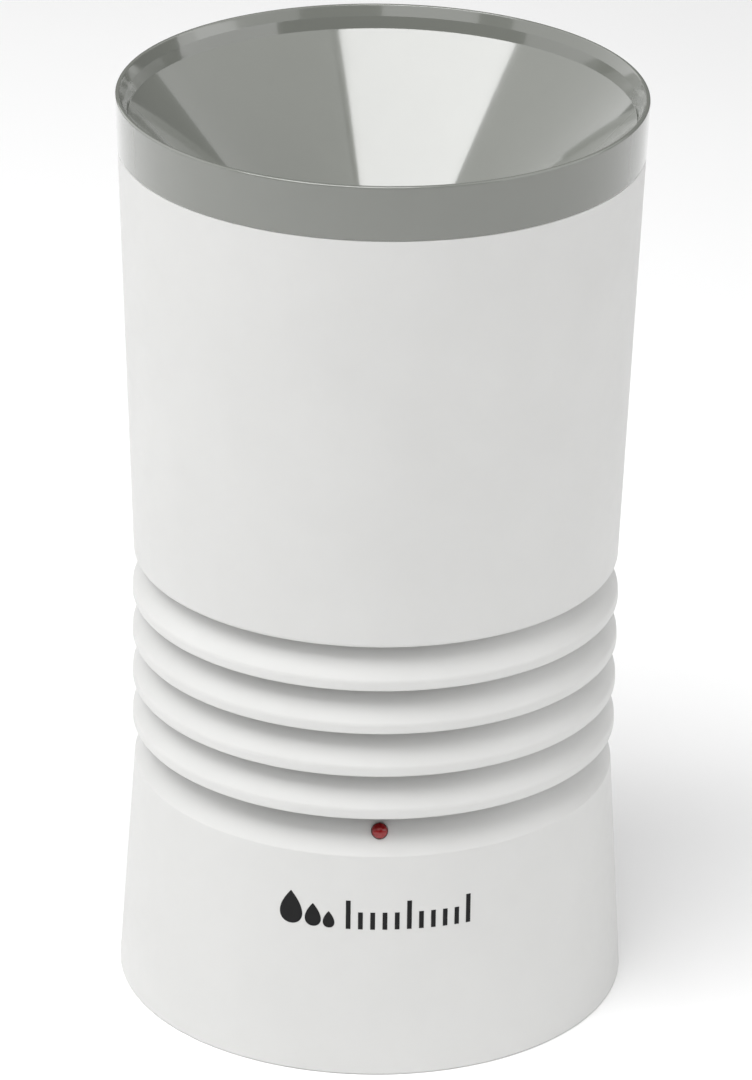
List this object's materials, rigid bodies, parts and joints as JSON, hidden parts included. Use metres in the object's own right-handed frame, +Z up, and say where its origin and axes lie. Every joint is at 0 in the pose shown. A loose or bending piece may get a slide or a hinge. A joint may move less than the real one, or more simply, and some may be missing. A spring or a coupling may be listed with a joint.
{
  "type": "wireless rain gauge",
  "caption": "Self-emptying tipping-bucket rain gauge: grey funnel, tapered white housing, louvred temperature shield, flared base with a red lamp.",
  "frame": {"origin": "centre of the base's underside, on the surface it stands on", "axes": "+Z up through the funnel; the lamp and the printed mark face -Y"},
  "size_m": [0.1202, 0.1202, 0.2184],
  "materials": {
    "grey_funnel": "moulded, glossy grey",
    "white_shell": "moulded, fine satin white",
    "white_inner": "moulded white",
    "light_grey_inner": "moulded light grey",
    "black_inner": "moulded black",
    "low_friction": "natural acetal",
    "screw_steel": "bright zinc",
    "spring_steel": "nickel-plated strip",
    "magnet": "nickel-plated",
    "circuit_board": "green solder mask",
    "chips": "black epoxy",
    "radio_can": "tinned",
    "copper_wire": "enamelled",
    "tinned_wire": "tinned",
    "reed_glass": "clear green",
    "level_glass": "clear",
    "level_fluid": "yellow-green liquid",
    "lamp_red": "diffused red epoxy",
    "rubber_black": "soft",
    "tube_plastic": "translucent white",
    "cell_jacket": "printed sleeve",
    "cable_jacket": "round, matt"
  },
  "bodies": {
    "base": {"deck": "light_grey_inner", "pivot_bushes": "low_friction", "stop_screws": "screw_steel", "reed_board": "circuit_board", "reed_switch": "reed_glass", "signal_cable": "cable_jacket", "cable_grommets": "rubber_black", "level_cup": "white_inner", "level_fluid": "level_fluid", "level_lens": "level_glass", "drain_screens": "black_inner", "drain_tubes": "tube_plastic", "tube_seals": "rubber_black", "louvre_1": "white_shell", "louvre_2": "white_shell", "louvre_3": "white_shell", "louvre_4": "white_shell", "stack_screws": "screw_steel", "sensor_cage": "white_inner", "temperature_sensor": "circuit_board", "sensor_leads": "tinned_wire", "base_housing": "white_shell", "shield_floor": "white_shell", "status_led": "lamp_red", "led_leads": "tinned_wire", "main_pcb": "circuit_board", "pcb_components": "chips", "rf_module": "radio_can", "antenna": "copper_wire", "pcb_screws": "screw_steel", "base_plate": "white_inner", "base_screws": "screw_steel", "base_seal": "rubber_black", "battery_left": "cell_jacket", "battery_right": "cell_jacket", "battery_contacts": "spring_steel", "reset_switch": "black_inner"},
    "lock_ring": {"bayonet_ring": "white_inner"},
    "collector": {"upper_housing": "white_shell", "funnel": "grey_funnel", "collector_screws": "screw_steel"},
    "filter": {"debris_filter": "black_inner"},
    "bucket": {"tipping_bucket": "black_inner", "bucket_axle": "screw_steel", "bucket_magnet": "magnet"},
    "door": {"battery_door": "white_inner", "door_seal": "rubber_black", "door_screw": "screw_steel"},
    "button": {"reset_button": "light_grey_inner"}
  },
  "joints": [
    {"name": "collector_twist", "type": "hinge", "parent": "base", "child": "lock_ring", "pos_m": [0, 0, 0.1104], "axis": [0, 0, 1], "range_deg": [0, 35]},
    {"name": "collector_lift", "type": "slide", "parent": "lock_ring", "child": "collector", "axis": [0, 0, 1], "range_m": [0, 0.12]},
    {"name": "filter_lift", "type": "slide", "parent": "collector", "child": "filter", "axis": [0, 0, 1], "range_m": [0, 0.07]},
    {"name": "bucket_tip", "type": "hinge", "parent": "base", "child": "bucket", "pos_m": [0, 0, 0.1235], "axis": [0, 1, 0], "range_deg": [0, 36]},
    {"name": "door_swing", "type": "hinge", "parent": "base", "child": "door", "pos_m": [0, 0.033, 0.0016], "axis": [1, 0, 0], "range_deg": [0, 90]},
    {"name": "reset_press", "type": "slide", "parent": "base", "child": "button", "axis": [0, 0, 1], "range_m": [0, 0.0008], "stiffness_N_per_m": 400, "springref_m": -0.0005}
  ]
}
